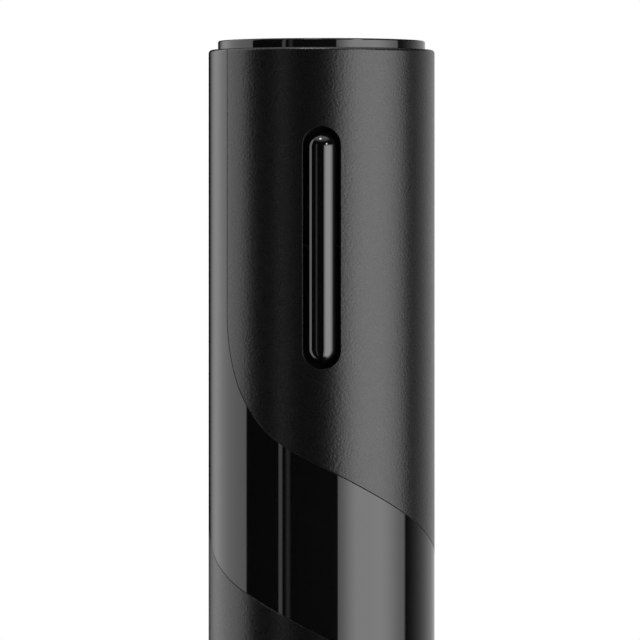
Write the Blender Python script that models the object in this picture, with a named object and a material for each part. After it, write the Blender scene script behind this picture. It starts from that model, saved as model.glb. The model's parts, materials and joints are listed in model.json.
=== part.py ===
"""Electric wine opener standing on its foil cutter: a battery, motor and
two-stage planetary gearbox in a round body turn a worm inside a smoked window.
Lengths are millimetres here and metres in the scene. Base centre at the origin,
+Z up, the long rocker switch on the front (-Y)."""
import math
import bmesh
import bpy
from mathutils import Matrix, Vector

for ob in list(bpy.data.objects):
    bpy.data.objects.remove(ob, do_unlink=True)

# ---------------------------------------------------------------- dimensions
MM = 0.001
BODY_R = 24.0            # outer radius of the body
BODY_TOP = 242.0         # top face of the matte shell
SHELL_BASE = 92.0        # lower end of the matte shell
SHELL_IN = 21.5          # inner radius of the shell
CAP_R = 22.0             # glossy end cap
CAP_TOP = 244.2
SEGS = 60                # columns round the outer skin

BAND_FLOOR = 22.9        # bottom of the groove the band is laid in
BAND_IN = 23.1
BAND_S0, BAND_S1 = -55.2, -23.5      # arc-length edges of the upright run
BEND_S, BEND_D = 9.5, 55.85          # centre of the bend, below the top
BEND_RI, BEND_RO = 33.0, 64.7
BAND_SLOPE = 0.51
BAND_GAP = 0.15

SLOT_Z = 199.8           # centre of the rocker slot
SLOT_W, SLOT_L = 8.0, 51.0
ROCKER_W, ROCKER_L = 6.3, 48.6
ROCKER_Y = -22.3         # centre line of the half-round bar
ROCKER_BACK = -19.4
PIVOT_Y = -18.1
SWITCH_DZ = 16.0

WINDOW_BASE = 34.0
RING_BASE = 24.0
LIP_Z = 45.0             # stop for the bottle lip
NECK_R = 15.7            # bore for the bottle neck

MODULE = 0.8
SUN_T, PLANET_T, RING_T = 9, 12, 33
ORBIT = MODULE * (SUN_T + PLANET_T) / 2
CELL_R, CELL_L = 7.1, 50.0



# ---------------------------------------------------------------- helpers
def material(name, colour, rough, metal=0.0, alpha=1.0):
    mat = bpy.data.materials.new(name)
    mat.use_nodes = True
    node = mat.node_tree.nodes["Principled BSDF"]
    node.inputs["Base Color"].default_value = (*colour, 1.0)
    node.inputs["Roughness"].default_value = rough
    node.inputs["Metallic"].default_value = metal
    node.inputs["Alpha"].default_value = alpha
    mat.diffuse_color = (*colour, alpha)
    return mat


LOOK = {
    "matte_black": ((0.020, 0.020, 0.021), 0.62, 0.0, 1.0),
    "gloss_black": ((0.006, 0.006, 0.007), 0.08, 0.0, 1.0),
    "smoke": ((0.05, 0.05, 0.055), 0.06, 0.0, 0.35),
    "satin_metal": ((0.62, 0.62, 0.63), 0.28, 1.0, 1.0),
    "steel": ((0.55, 0.55, 0.56), 0.30, 1.0, 1.0),
    "dark_plastic": ((0.03, 0.03, 0.032), 0.5, 0.0, 1.0),
    "nylon": ((0.80, 0.79, 0.74), 0.45, 0.0, 1.0),
    "sinter": ((0.35, 0.33, 0.31), 0.5, 1.0, 1.0),
    "brass": ((0.75, 0.58, 0.25), 0.3, 1.0, 1.0),
    "magnet": ((0.12, 0.12, 0.13), 0.55, 0.4, 1.0),
    "copper": ((0.62, 0.28, 0.16), 0.35, 1.0, 1.0),
    "coated": ((0.10, 0.10, 0.11), 0.25, 0.6, 1.0),
    "cell_wrap": ((0.05, 0.22, 0.50), 0.35, 0.0, 1.0),
    "nickel": ((0.60, 0.58, 0.53), 0.25, 1.0, 1.0),
    "board": ((0.02, 0.18, 0.08), 0.4, 0.0, 1.0),
    "zinc": ((0.50, 0.50, 0.52), 0.35, 1.0, 1.0),
}


def make(name, verts, faces, look, origin=(0, 0, 0), smooth=False, own=True):
    """A closed mesh from millimetre vertices, its origin at `origin`."""
    o = Vector(origin)
    mesh = bpy.data.meshes.new(name)
    mesh.from_pydata([(Vector(v) - o) * MM for v in verts], [], faces)
    bm = bmesh.new()
    bm.from_mesh(mesh)
    bmesh.ops.recalc_face_normals(bm, faces=bm.faces)
    bm.to_mesh(mesh)
    bm.free()
    ob = bpy.data.objects.new(name, mesh)
    ob.location = o * MM
    bpy.context.scene.collection.objects.link(ob)
    if own:
        colour, rough, metal, alpha = LOOK[look]
        mesh.materials.append(material(name + "_mat", colour, rough, metal, alpha))
    if smooth:
        for p in mesh.polygons:
            p.use_smooth = True
        mesh.set_sharp_from_angle(angle=math.radians(32))
    return ob


def combine(target, others, operation="DIFFERENCE", smooth=False):
    """Cut or join `others` into the target with exact booleans, one at a time."""
    keep = target.data.materials[0]
    for other in others:
        mod = target.modifiers.new("step", "BOOLEAN")
        mod.operation = operation
        mod.solver = "EXACT"
        mod.object = other
        graph = bpy.context.evaluated_depsgraph_get()
        graph.update()
        mesh = bpy.data.meshes.new_from_object(target.evaluated_get(graph))
        target.modifiers.clear()
        old = target.data
        target.data = mesh
        bpy.data.meshes.remove(old)
        data = other.data
        bpy.data.objects.remove(other, do_unlink=True)
        bpy.data.meshes.remove(data)
        bm = bmesh.new()
        bm.from_mesh(mesh)
        bmesh.ops.remove_doubles(bm, verts=bm.verts, dist=2e-6)
        bmesh.ops.dissolve_degenerate(bm, dist=1e-6, edges=bm.edges)
        bmesh.ops.triangulate(bm, faces=[f for f in bm.faces if len(f.verts) > 4])
        bm.to_mesh(mesh)
        bm.free()
    mesh.materials.clear()
    mesh.materials.append(keep)
    for p in mesh.polygons:
        p.material_index = 0
        p.use_smooth = smooth
    if smooth:
        mesh.set_sharp_from_angle(angle=math.radians(32))
    mesh.name = target.name
    return target


def lathe(name, profile, look, segs=48, at=(0, 0), origin=None, smooth=True, own=True, turn=0.0):
    """Revolve a closed (r, z) outline about Z. Points with r = 0 become poles."""
    cx, cy = at
    verts, rings = [], []
    for r, z in profile:
        if r <= 0:
            rings.append([len(verts)])
            verts.append((cx, cy, z))
        else:
            rings.append(list(range(len(verts), len(verts) + segs)))
            for k in range(segs):
                a = turn + 2 * math.pi * k / segs
                verts.append((cx + r * math.cos(a), cy + r * math.sin(a), z))
    faces = []
    n = len(rings)
    for i in range(n):
        a, b = rings[i], rings[(i + 1) % n]
        if len(a) == 1 and len(b) == 1:
            continue
        for k in range(segs):
            m = (k + 1) % segs
            if len(a) == 1:
                faces.append((a[0], b[k], b[m]))
            elif len(b) == 1:
                faces.append((a[k], b[0], a[m]))
            else:
                faces.append((a[k], b[k], b[m], a[m]))
    o = origin if origin is not None else (cx, cy, 0)
    return make(name, verts, faces, look, o, smooth, own)


def prism(name, outline, z0, z1, look, origin=(0, 0, 0), hole=None, smooth=False, own=True, axis="Z"):
    """Extrude an outline; `hole` has as many points and is bridged to it."""
    n = len(outline)
    loops = [outline] if hole is None else [outline, hole]
    verts = [(x, y, z) for z in (z0, z1) for loop in loops for x, y in loop]
    faces = []
    step = n * len(loops)
    for k in range(n):
        m = (k + 1) % n
        faces.append((k, m, step + m, step + k))
        if hole is not None:
            faces.append((n + m, n + k, step + n + k, step + n + m))
            faces.append((k, n + k, n + m, m))
            faces.append((step + k, step + m, step + n + m, step + n + k))
    if hole is None:
        faces.append(tuple(range(n)))
        faces.append(tuple(range(step, step + n)))
    if axis == "Y":      # outline in x, z and extruded along y
        verts = [(x, z, y) for x, y, z in verts]
    if axis == "X":      # outline in y, z and extruded along x
        verts = [(z, x, y) for x, y, z in verts]
    return make(name, verts, faces, look, origin, smooth, own)


def box(name, lo, hi, look="steel", origin=None, own=True):
    o = origin or tuple((a + b) / 2 for a, b in zip(lo, hi))
    return prism(name, [(lo[0], lo[1]), (hi[0], lo[1]), (hi[0], hi[1]), (lo[0], hi[1])],
                 lo[2], hi[2], look, o, own=own)


def rod(name, r, z0, z1, look="steel", at=(0, 0), segs=24, own=True, origin=None):
    return lathe(name, [(0, z0), (r, z0), (r, z1), (0, z1)], look, segs, at, origin, True, own)


def circle(r, n, cx=0.0, cy=0.0, turn=0.0):
    return [(cx + r * math.cos(turn + 2 * math.pi * k / n),
             cy + r * math.sin(turn + 2 * math.pi * k / n)) for k in range(n)]


def stadium(w, length, cy=0.0, arc=10):
    """Upright slot outline, w wide and `length` long, centred on (0, cy)."""
    r, h = w / 2, (length - w) / 2
    pts = []
    for k in range(arc + 1):
        a = math.pi * k / arc
        pts.append((r * math.cos(a), cy + h + r * math.sin(a)))
    for k in range(arc + 1):
        a = math.pi + math.pi * k / arc
        pts.append((r * math.cos(a), cy - h + r * math.sin(a)))
    return pts


def gear_outline(teeth, centre, facing, inner=False):
    """Straight-flanked teeth; the middle of a tooth lies along `facing`."""
    rp = MODULE * teeth / 2
    pitch = 2 * math.pi / teeth
    if inner:
        r_tip, r_root, half = rp - 0.62 * MODULE, rp + 0.98 * MODULE, 0.205
    else:
        r_tip, r_root, half = rp + 0.62 * MODULE, rp - 0.98 * MODULE, 0.215
    spread = 0.36 if teeth < 15 else 0.31
    tip, root = 0.12 if not inner else 0.11, spread
    pts = []
    for k in range(teeth):
        mid = facing + k * pitch
        for off, r in ((-root, r_root), (-tip, r_tip), (tip, r_tip), (root, r_root)):
            a = mid + off * pitch
            pts.append((centre[0] + r * math.cos(a), centre[1] + r * math.sin(a)))
    return pts


def around(outline, r, centre):
    """A circle with one point on each spoke of the outline."""
    return [(centre[0] + r * (x - centre[0]) / math.hypot(x - centre[0], y - centre[1]),
             centre[1] + r * (y - centre[1]) / math.hypot(x - centre[0], y - centre[1]))
            for x, y in outline]


# ---------------------------------------------------------------- the band's path
def band_top(s, grow=0.0):
    """Distance below the body top of the band's upper edge at arc length s."""
    ri = BEND_RI + grow
    nx, ny = -BAND_SLOPE / math.hypot(1, BAND_SLOPE), 1 / math.hypot(1, BAND_SLOPE)
    s_tan = BEND_S + ri * nx
    if s <= BEND_S - ri:
        return BEND_D
    if s < s_tan:
        return BEND_D + math.sqrt(max(0.0, ri * ri - (s - BEND_S) ** 2))
    return BEND_D + ri * ny + BAND_SLOPE * (s - s_tan)


def band_low(s, grow=0.0):
    ro = BEND_RO - grow
    nx, ny = -BAND_SLOPE / math.hypot(1, BAND_SLOPE), 1 / math.hypot(1, BAND_SLOPE)
    s_tan = BEND_S + ro * nx
    if s <= BEND_S - ro:
        return BEND_D
    if s < s_tan:
        return BEND_D + math.sqrt(max(0.0, ro * ro - (s - BEND_S) ** 2))
    return BEND_D + ro * ny + BAND_SLOPE * (s - s_tan)


def polygon_r(r, s):
    """Radius of the body's own facets at arc length s (s is 0 at the front)."""
    step = 2 * math.pi / SEGS
    a = (s / BODY_R) % step
    return r * math.cos(step / 2) / math.cos(a - step / 2)


def band_solid(name, gap, r_in, r_out, d_top, d_bottom, chamfer, own, look):
    """The band as one curved strip: an upright run, a bend and a slow spiral."""
    s0, s1 = BAND_S0 + gap, BAND_S1 - gap
    grid = 2 * math.pi * BODY_R / SEGS
    end = 0.0
    while band_top(end, gap) < d_bottom:
        end += 0.01
    cols = {s0, s1, end}
    k = math.ceil(s0 / grid)
    while k * grid < end:
        if min(abs(k * grid - c) for c in (s0, s1, end)) > 0.12:
            cols.add(k * grid)
        k += 1
    for d in (0.12, 0.45, 1.1):
        cols.add(s0 + d)
        cols.add(s1 + d)
    cols = sorted(cols)
    merged = [cols[0]]
    for c in cols[1:]:
        if c - merged[-1] > 0.1:
            merged.append(c)
    cols = merged
    verts, index = [], {}

    def vertex(s, d, outer):
        key = (round(s, 5), round(d, 5), outer)
        if key not in index:
            index[key] = len(verts)
            r = r_out if outer else r_in
            if outer and chamfer and d < d_top + chamfer - 1e-6:
                r = r_out - (d_top + chamfer - d)
            r = polygon_r(r, s)
            a = s / BODY_R - math.pi / 2
            verts.append((r * math.cos(a), r * math.sin(a), BODY_TOP - d))
        return index[key]

    cells = []
    rows = [d_top] + ([d_top + chamfer] if chamfer else []) + [BEND_D]
    for a, b in zip(cols, cols[1:]):
        if b <= s1 + 1e-6:
            for u, v in zip(rows, rows[1:]):
                cells.append(((a, u), (b, u), (b, v), (a, v)))
            ta, tb = BEND_D, BEND_D
        else:
            ta, tb = band_top(a, gap), band_top(b, gap)
        la, lb = min(band_low(a, gap), d_bottom), min(band_low(b, gap), d_bottom)
        quad = []
        for p in ((a, ta), (b, tb), (b, lb), (a, la)):
            if not quad or abs(p[0] - quad[-1][0]) > 1e-6 or abs(p[1] - quad[-1][1]) > 1e-3:
                quad.append(p)
        if len(quad) > 2 and abs(quad[0][0] - quad[-1][0]) < 1e-6 and abs(quad[0][1] - quad[-1][1]) < 1e-3:
            quad.pop()
        if len(quad) > 2:
            cells.append(tuple(quad))
    edges = {}
    faces = []
    for cell in cells:
        faces.append(tuple(vertex(s, d, True) for s, d in cell))
        faces.append(tuple(vertex(s, d, False) for s, d in reversed(cell)))
        n = len(cell)
        for i in range(n):
            p, q = cell[i], cell[(i + 1) % n]
            kp, kq = (round(p[0], 5), round(p[1], 5)), (round(q[0], 5), round(q[1], 5))
            if (kq, kp) in edges:
                del edges[(kq, kp)]
            else:
                edges[(kp, kq)] = (p, q)
    for p, q in edges.values():
        faces.append((vertex(*p, True), vertex(*p, False), vertex(*q, False), vertex(*q, True)))
    return make(name, verts, faces, look, (0, 0, 0), False, own)


# ---------------------------------------------------------------- foil cutter
WHEEL_R, WHEEL_AT = 4.2, 17.8
cutter_body = lathe("foil_cutter_body", [
    (17.0, 0), (23.2, 0), (24.0, 0.8), (24.0, 23.1), (23.4, 23.7), (19.9, 23.7),
    (19.9, 13.8), (15.8, 13.8), (15.8, 1.6)], "matte_black", 40)
pockets, corners = [], [math.radians(45 + 90 * k) for k in range(4)]
for k, a in enumerate(corners):
    at = (WHEEL_AT * math.cos(a), WHEEL_AT * math.sin(a))
    pockets.append(rod("pocket", 4.75, 8.6, 12.4, at=at, segs=14, own=False))
    pockets.append(rod("pin_hole", 1.3, 5.6, 15.0, at=at, segs=8, own=False))
combine(cutter_body, pockets)

retainer = lathe("wheel_retainer", [(12.2, 14.1), (19.5, 14.1), (19.5, 15.9), (12.2, 15.9)],
                 "steel", 36, smooth=False)
pins = []
for a in corners:
    at = (WHEEL_AT * math.cos(a), WHEEL_AT * math.sin(a))
    pins.append(rod("pin", 0.95, 6.0, 15.0, at=at, segs=8, own=False))
combine(retainer, pins, "UNION")
for k, a in enumerate(corners):
    at = (WHEEL_AT * math.cos(a), WHEEL_AT * math.sin(a))
    lathe("cutting_wheel_%d" % (k + 1), [
        (1.25, 8.9), (2.3, 8.9), (2.3, 10.1), (3.7, 10.1), (WHEEL_R, 10.5), (3.7, 10.9),
        (2.3, 10.9), (2.3, 12.1), (1.25, 12.1)], "steel", 16, at, (at[0], at[1], 10.5))

# ---------------------------------------------------------------- lower body
lathe("base_ring", [(21.6, RING_BASE), (23.3, RING_BASE), (24.0, RING_BASE + 0.7),
                    (24.0, WINDOW_BASE - 0.8), (23.5, WINDOW_BASE - 0.3),
                    (21.6, WINDOW_BASE - 0.3)], "satin_metal", 48)
lathe("neck_guide", [
    (17.2, 17.6), (19.0, 17.6), (19.6, 18.3), (19.6, 23.8), (21.3, 24.4), (21.3, 33.6),
    (20.9, 34.2), (20.9, 47.0), (12.6, 47.0), (12.6, LIP_Z), (NECK_R, LIP_Z), (NECK_R, 19.2)],
    "dark_plastic", 36)
lathe("window_tube", [
    (21.3, WINDOW_BASE), (23.6, WINDOW_BASE), (24.0, WINDOW_BASE + 0.4), (24.0, 91.3),
    (23.6, 91.7), (21.2, 91.7), (21.2, 98.0), (19.4, 98.0), (19.4, 90.0), (21.3, 87.5)],
    "smoke", 48)

# ---------------------------------------------------------------- shell and band
shell = lathe("matte_shell", [
    (SHELL_IN, SHELL_BASE), (23.7, SHELL_BASE), (24.0, SHELL_BASE + 0.3), (24.0, BODY_TOP - 0.7),
    (23.3, BODY_TOP), (22.3, BODY_TOP), (22.3, 238.5), (SHELL_IN, 238.5)],
    "matte_black", SEGS, turn=-math.pi / 2)
groove = band_solid("groove", 0.0, BAND_FLOOR, 26.0, -3.0, 153.0, 0.0, False, None)
slot = prism("slot", stadium(SLOT_W, SLOT_L, SLOT_Z), -27.0, -17.0, None, axis="Y", own=False)
port = prism("port", [(y, z) for z, y in stadium(4.4, 10.2, 0.0, 6)], 18.0, 27.0, None, axis="Y",
             own=False)
port.data.transform(Matrix.Translation((0, 0, 0.1741)))
combine(shell, [groove, slot, port])
band_solid("gloss_band", BAND_GAP, BAND_IN, BODY_R, 0.0, 149.85, 0.7, True, "gloss_black")

lathe("top_cap", [
    (0, 242.2), (19.6, 242.2), (19.6, 238.8), (21.9, 238.8), (CAP_R, 242.0), (21.75, 243.4),
    (21.3, 243.85), (0, CAP_TOP)], "gloss_black", 48)

# ---------------------------------------------------------------- rocker switch
tray = prism("switch_tray", stadium(12.0, 55.4, SLOT_Z, 8), -20.3, -15.0, "dark_plastic", axis="Y",
             origin=(0, -17.6, SLOT_Z))
tools = [prism("well", stadium(8.6, 51.6, SLOT_Z, 8), -21.5, -16.5, None, axis="Y", own=False)]
for sgn in (-1, 1):
    tools.append(prism("stem_hole", [(x, z + SLOT_Z + sgn * SWITCH_DZ) for x, z in circle(2.0, 12)],
                       -18.0, -13.0, None, axis="Y", own=False))
tools.append(prism("pin_hole", [(y + PIVOT_Y, z + SLOT_Z) for y, z in circle(0.95, 12)],
                   -8.0, 8.0, None, axis="X", own=False))
combine(tray, tools)

# half-round bar with rounded ends, straight sides behind it
half, rr = (ROCKER_L - ROCKER_W) / 2, ROCKER_W / 2
rings = []
ends = [math.radians(a) for a in (8, 25, 45, 67, 90)]
for a in ends:
    rings.append((SLOT_Z - half - rr * math.cos(a), rr * math.sin(a)))
for a in reversed(ends):
    rings.append((SLOT_Z + half + rr * math.cos(a), rr * math.sin(a)))
verts, faces, arc = [], [], 10
for z, r in rings:
    for k in range(arc + 1):
        t = math.pi * k / arc
        verts.append((r * math.cos(t), ROCKER_Y - r * math.sin(t), z))
    verts += [(-r, ROCKER_BACK, z), (r, ROCKER_BACK, z)]
n = arc + 3
for i in range(len(rings) - 1):
    for k in range(n):
        m = (k + 1) % n
        faces.append((i * n + k, i * n + m, (i + 1) * n + m, (i + 1) * n + k))
faces.append(tuple(range(n)))
faces.append(tuple(range((len(rings) - 1) * n, len(rings) * n)))
PIVOT = (0, PIVOT_Y, SLOT_Z)
rocker = make("rocker_bar", verts, faces, "gloss_black", PIVOT, True)
boss = box("boss", (-2.6, -20.4, SLOT_Z - 2.4), (2.6, -16.85, SLOT_Z + 2.4), own=False)
combine(rocker, [boss], "UNION", True)
bore = prism("bore", [(y + PIVOT_Y, z + SLOT_Z) for y, z in circle(0.85, 12, turn=0.13)],
             -8.0, 8.0, None, axis="X", own=False)
combine(rocker, [bore], "DIFFERENCE", True)
prism("rocker_pin", [(y + PIVOT_Y, z + SLOT_Z) for y, z in circle(0.72, 12)], -5.7, 5.7, "steel",
      axis="X", origin=PIVOT)

for name, sgn in (("drive_in", -1), ("eject", 1)):
    z = SLOT_Z + sgn * SWITCH_DZ
    hole = [(x, zz + z) for x, zz in circle(1.75, 16)]
    edge = []
    for k in range(16):
        a = 2 * math.pi * k / 16
        m = 3.0 / max(abs(math.cos(a)), abs(math.sin(a)))
        edge.append((m * math.cos(a), z + m * math.sin(a)))
    switch = prism("switch_%s" % name, edge, -14.7, -12.6, "dark_plastic", axis="Y",
                   origin=(0, -13.6, z))
    pit = prism("pit", hole, -16.0, -13.1, None, axis="Y", own=False)
    combine(switch, [pit])
    prism("stem_%s" % name, [(x, zz + z) for x, zz in circle(1.45, 16)], -19.1, -14.0, "nylon",
          axis="Y", origin=(0, -16.5, z))

# ---------------------------------------------------------------- gearbox
cover = lathe("gear_cover", [
    (9.4, 98.4), (21.2, 98.4), (21.2, 101.4), (19.0, 101.4), (19.0, 112.0), (6.8, 112.0),
    (6.8, 105.0), (9.4, 105.0)], "nylon", 32)
SCREW_R, SCREW_AT = 17.1, [math.radians(90 + 120 * k) for k in range(3)]
spots = [(SCREW_R * math.cos(a), SCREW_R * math.sin(a)) for a in SCREW_AT]
combine(cover, [rod("h", 1.2, 104.0, 113.0, at=p, segs=8, own=False) for p in spots])
lathe("output_bushing", [(4.2, 105.3), (6.5, 105.3), (6.5, 112.0), (4.2, 112.0)], "brass", 24)

ring_teeth = gear_outline(RING_T, (0, 0), math.pi / 2, inner=True)
ring = prism("ring_gear", around(ring_teeth, 19.0, (0, 0)), 112.3, 130.0, "nylon", hole=ring_teeth)
combine(ring, [rod("h", 1.2, 110.0, 132.0, at=p, segs=8, own=False) for p in spots])
plate = lathe("motor_plate", [(5.2, 130.3), (19.0, 130.3), (19.0, 132.6), (5.2, 132.6)],
              "steel", 32, smooth=False)
tools = [rod("h", 1.2, 129.0, 134.0, at=p, segs=8, own=False) for p in spots]
for sgn in (-1, 1):
    tools.append(lathe("h", [(0, 129.0), (2.2, 129.0), (2.2, 131.6), (1.3, 131.6), (1.3, 134.0),
                             (0, 134.0)], None, 10, (8.0 * sgn, 0), own=False))
combine(plate, tools)
for k, p in enumerate(spots):
    lathe("gearbox_screw_%d" % (k + 1), [
        (0, 104.6), (0.9, 104.6), (0.9, 132.9), (1.8, 132.9), (1.8, 134.0), (1.0, 134.3), (0, 134.3)],
        "zinc", 8, p, (p[0], p[1], 120))
for k, sgn in enumerate((-1, 1)):
    lathe("motor_screw_%d" % (k + 1), [
        (0, 130.5), (1.9, 130.5), (1.9, 131.3), (0.95, 131.3), (0.95, 135.6), (0, 135.6)],
        "zinc", 8, (8.0 * sgn, 0), (8.0 * sgn, 0, 132))

PLANET_AT = [math.radians(90 + 120 * k) for k in range(3)]
gap_turn = math.pi / PLANET_T
for stage, (z0, z1) in enumerate(((124.7, 129.4), (116.4, 121.7)), 1):
    for k, a in enumerate(PLANET_AT):
        c = (ORBIT * math.cos(a), ORBIT * math.sin(a))
        teeth = gear_outline(PLANET_T, c, a + gap_turn)
        prism("planet_%d_%s" % (stage, "abc"[k]), teeth, z0, z1, "sinter",
              (c[0], c[1], z0), hole=around(teeth, 1.6, c))
sun = gear_outline(SUN_T, (0, 0), math.pi / 2)
prism("sun_pinion", sun, 124.6, 131.8, "sinter", (0, 0, 124.6), hole=around(sun, 1.35, (0, 0)))


def carrier(name, z0, z1, pin_top, extra, look):
    disc = rod(name, 11.6, z0, z1, look, segs=24)
    parts = [rod("p", 1.45, z1 - 0.5, pin_top, at=(ORBIT * math.cos(a), ORBIT * math.sin(a)),
                 segs=10, own=False) for a in PLANET_AT]
    return combine(disc, parts + extra, "UNION")


carrier("stage_carrier", 122.2, 124.3, 129.6,
        [prism("s", sun, 116.2, 122.9, None, own=False)], "steel")
carrier("output_carrier", 114.0, 116.0, 121.8,
        [rod("s", 4.0, 104.9, 114.8, segs=18, own=False),
         prism("hex", circle(3.9, 6), 95.2, 105.6, None, own=False)], "steel")

hub = lathe("worm_hub", [
    (0, 90.0), (3.4, 90.0), (7.3, 93.0), (7.3, 104.0), (6.9, 104.5), (0, 104.5)], "dark_plastic", 24)
combine(hub, [prism("hex", circle(4.2, 6), 94.8, 106.0, None, own=False),
              rod("s", 1.7, 88.0, 93.6, segs=10, own=False)])

# helical worm: a centred shank that swings out into even turns and a sharp tip
WORM_R, WIRE_R, PITCH = 3.4, 1.35, 9.4
TOP, TIP = 93.2, 40.0
path, radii = [], []
steps, around_n = 64, 7
turns = (88.0 - TIP) / PITCH
path += [Vector((0, 0, TOP)), Vector((0, 0, 90.6))]
radii += [WIRE_R, WIRE_R]
for k in range(steps + 1):
    f = k / steps
    z = 89.4 + (TIP - 89.4) * f
    a = -2 * math.pi * turns * f
    r = WORM_R * min(1.0, (f * turns / 0.55)) ** 0.8 if f else 0.0
    path.append(Vector((r * math.cos(a), r * math.sin(a), z)))
    tail = min(1.0, (1.0 - f) * turns / 0.32)
    radii.append(max(0.12, WIRE_R * tail ** 0.6))
verts, faces = [], []
side = Vector((1, 0, 0))
for i, p in enumerate(path):
    t = (path[min(i + 1, len(path) - 1)] - path[max(i - 1, 0)]).normalized()
    side = (side - t * side.dot(t)).normalized()
    up = t.cross(side)
    for k in range(around_n):
        a = 2 * math.pi * k / around_n
        verts.append(p + (side * math.cos(a) + up * math.sin(a)) * radii[i])
for i in range(len(path) - 1):
    for k in range(around_n):
        m = (k + 1) % around_n
        faces.append((i * around_n + k, i * around_n + m, (i + 1) * around_n + m,
                      (i + 1) * around_n + k))
faces.append(tuple(range(around_n)))
faces.append(tuple(range((len(path) - 1) * around_n, len(path) * around_n)))
make("worm", verts, faces, "coated", (0, 0, TIP), True)

# ---------------------------------------------------------------- motor
can = lathe("motor_can", [
    (1.7, 132.9), (13.4, 132.9), (13.85, 133.4), (13.85, 164.0), (12.85, 164.0), (12.85, 134.1),
    (1.7, 134.1)], "zinc", 28)
combine(can, [rod("h", 1.3, 131.0, 136.0, at=(8.0 * s, 0), segs=8, own=False) for s in (-1, 1)],
        smooth=True)
end = lathe("motor_end_cap", [
    (1.5, 166.0), (7.6, 166.0), (7.6, 160.6), (12.5, 160.6), (12.5, 164.3), (13.85, 164.3),
    (13.85, 165.8), (11.6, 168.2), (1.5, 168.2)], "dark_plastic", 24)
combine(end, [box("c", (10.0 * s - 0.75, -1.9, 158.0), (10.0 * s + 0.75, 1.9, 171.0), own=False)
              for s in (-1, 1)])
for name, s in (("left", -1), ("right", 1)):
    pts = [(r * math.cos(a), r * math.sin(a)) for r, sweep in ((12.5, 1), (10.8, -1))
           for a in [math.radians(sweep * (-62 + 124 * k / 10)) + (0 if s > 0 else math.pi)
                     for k in range(11)]]
    prism("magnet_%s" % name, pts, 137.0, 158.0, "magnet", (0, 0, 147.5))
    # terminal blade with its brush arm reaching in to the commutator
    profile = [(10.3, 159.2), (10.3, 170.3), (9.7, 170.3), (9.7, 159.8), (3.6, 159.8), (3.6, 157.9),
               (5.2, 157.9), (5.2, 159.2)]
    outline = [(x * s, z) for x, z in profile]
    prism("brush_terminal_%s" % name, outline, -1.4, 1.4, "copper", axis="Y",
          origin=(10.0 * s, 0, 164))

spokes, verts, faces = 30, [], []
levels = [(1.3, 136.6, 0), (8.4, 136.6, 0), (8.8, 137.2, 0), (8.8, 139.2, 0), (10.3, 139.2, 1),
          (10.3, 154.0, 1), (8.6, 154.0, 0), (8.2, 156.4, 0), (3.2, 156.4, 0), (3.2, 162.2, 0),
          (1.3, 162.2, 0)]
for r, z, slotted in levels:
    for k in range(spokes):
        a = 2 * math.pi * k / spokes
        rk = r - (1.2 if slotted and k % 6 == 0 else 0.0)
        verts.append((rk * math.cos(a), rk * math.sin(a), z))
for i in range(len(levels)):
    j = (i + 1) % len(levels)
    for k in range(spokes):
        m = (k + 1) % spokes
        faces.append((i * spokes + k, i * spokes + m, j * spokes + m, j * spokes + k))
make("armature", verts, faces, "copper", (0, 0, 147))
rod("motor_shaft", 1.15, 124.6, 167.6, "steel", segs=16, origin=(0, 0, 147))

# ---------------------------------------------------------------- inner frame and electronics
def sector(r0, r1, a0, a1, n):
    pts = [(r1 * math.cos(a0 + (a1 - a0) * k / n), r1 * math.sin(a0 + (a1 - a0) * k / n))
           for k in range(n + 1)]
    return pts + [(r0 * math.cos(a1 + (a0 - a1) * k / n), r0 * math.sin(a1 + (a0 - a1) * k / n))
                  for k in range(n + 1)]


def d_plate(r, y0, n=16):
    a0 = math.asin(y0 / r)
    return [(r * math.cos(a0 + (math.pi - 2 * a0) * k / n), r * math.sin(a0 + (math.pi - 2 * a0) * k / n))
            for k in range(n + 1)]


frame = prism("inner_frame", sector(19.5, 21.1, math.radians(-8), math.radians(188), 22),
              135.0, 237.6, "dark_plastic", (0, 0, 186))
combine(frame, [prism("d", d_plate(20.2, -6.0), 150.0, 152.0, None, own=False),
                prism("d", d_plate(20.2, -10.2), 178.6, 180.6, None, own=False),
                prism("d", d_plate(20.2, -10.2), 235.0, 237.0, None, own=False)], "UNION")
combine(frame, [rod("m", 14.2, 148.0, 154.0, segs=32, own=False),
                box("usb", (-5.6, 14.0, 171.4), (5.6, 24.0, 176.8), own=False)])

for k, s in enumerate((-1, 1)):
    c = (7.4 * s, 7.2)
    z0 = 181.8
    lathe("cell_%d" % (k + 1), [
        (0, z0), (6.6, z0), (CELL_R, z0 + 0.6), (CELL_R, z0 + 48.4), (6.5, z0 + 49.0),
        (2.4, z0 + 49.0), (2.4, z0 + CELL_L), (0, z0 + CELL_L)], "cell_wrap", 18, c,
        (c[0], c[1], z0 + 25))
    box("cell_tab_%s" % ("negative", "positive")[k], (c[0] - 2.5, 1.5, z0 + CELL_L + 0.3),
        (c[0] + 2.5, 13.0, z0 + CELL_L + 0.6), "nickel")
box("cell_link", (-11.5, 3.5, 180.9), (11.5, 11.0, 181.5), "nickel")

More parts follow.
